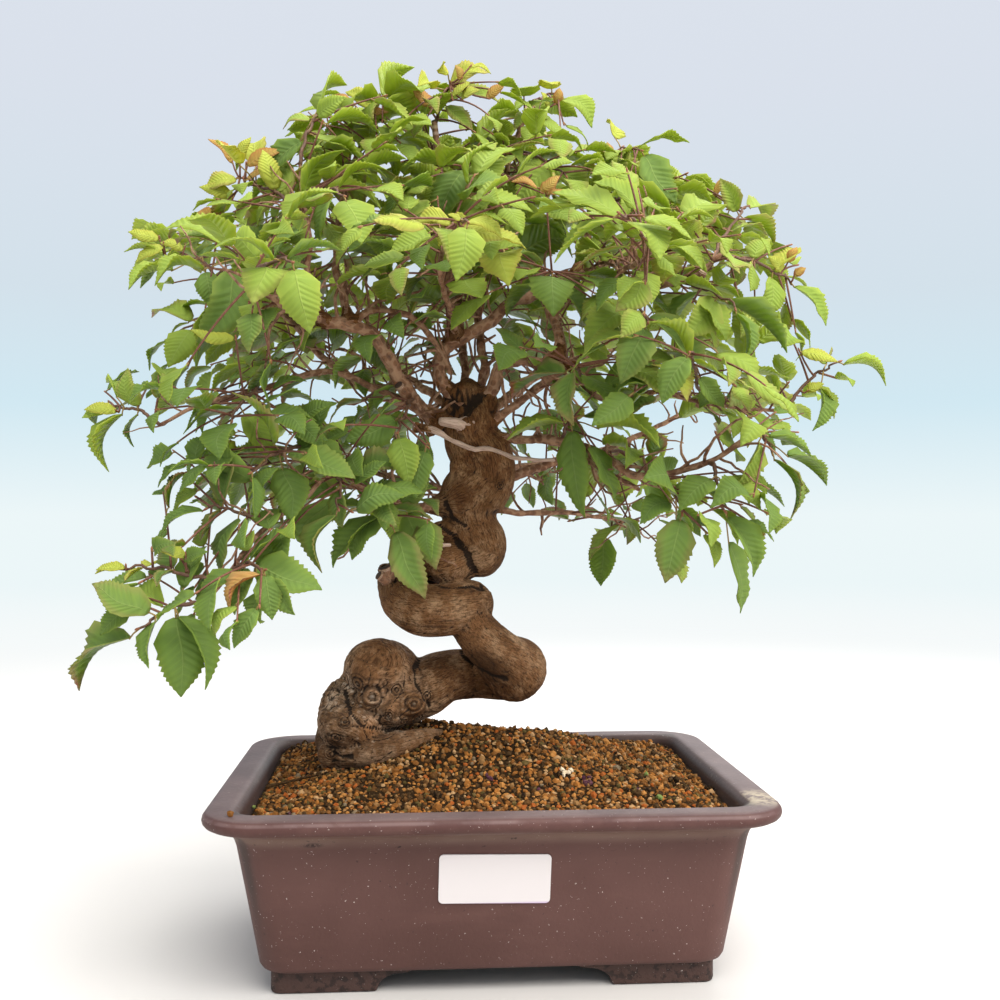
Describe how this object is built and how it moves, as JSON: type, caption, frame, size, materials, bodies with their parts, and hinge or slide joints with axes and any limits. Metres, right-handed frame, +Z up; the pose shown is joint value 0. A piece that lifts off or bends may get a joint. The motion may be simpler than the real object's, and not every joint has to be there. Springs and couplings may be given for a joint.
{
  "type": "korean hornbeam bonsai in a rectangular pot",
  "caption": "Small hornbeam tree with a coiled, burled trunk and a wide leafy crown, standing in gritty soil in a rectangular brown clay pot on corner feet.",
  "frame": {"origin": "on the standing surface, below the middle of the pot and of the crown", "axes": "+Z up; +X to the right along the pot's long side; -Y out of the front wall with the label"},
  "size_m": [0.3779, 0.2699, 0.4129],
  "materials": {
    "clay": "unglazed purple-brown stoneware with a dull sheen",
    "paper": "blank white coated paper",
    "screen": "black plastic mesh",
    "grit": "baked clay and pumice grains, 1.5 to 4 mm",
    "bark": "grey-brown bark, striated on the trunk and cracked on the burl",
    "foliage": "satin green leaves on thin red-brown twigs"
  },
  "bodies": {
    "root": {"pot": "clay", "label": "paper", "drainage_screen_left": "screen", "drainage_screen_right": "screen", "soil": "grit", "trunk": "bark", "spray_01": "foliage", "spray_02": "foliage", "spray_03": "foliage", "spray_04": "foliage", "spray_05": "foliage", "spray_06": "foliage", "spray_07": "foliage", "spray_08": "foliage", "spray_09": "foliage", "spray_10": "foliage", "spray_11": "foliage", "spray_12": "foliage", "spray_13": "foliage", "spray_14": "foliage", "spray_15": "foliage", "spray_16": "foliage", "spray_17": "foliage", "spray_18": "foliage", "spray_19": "foliage", "spray_20": "foliage", "spray_21": "foliage", "spray_22": "foliage", "spray_23": "foliage", "spray_24": "foliage", "spray_25": "foliage", "spray_26": "foliage", "spray_27": "foliage", "spray_28": "foliage", "spray_29": "foliage", "spray_30": "foliage", "spray_31": "foliage", "spray_32": "foliage", "spray_33": "foliage", "spray_34": "foliage", "spray_35": "foliage", "spray_36": "foliage", "spray_37": "foliage", "spray_38": "foliage", "spray_39": "foliage", "spray_40": "foliage", "spray_41": "foliage", "spray_42": "foliage", "spray_43": "foliage", "spray_44": "foliage", "spray_45": "foliage", "spray_46": "foliage", "spray_47": "foliage", "spray_48": "foliage", "spray_49": "foliage", "spray_50": "foliage", "spray_51": "foliage", "spray_52": "foliage", "spray_53": "foliage", "spray_54": "foliage"}
  },
  "joints": []
}
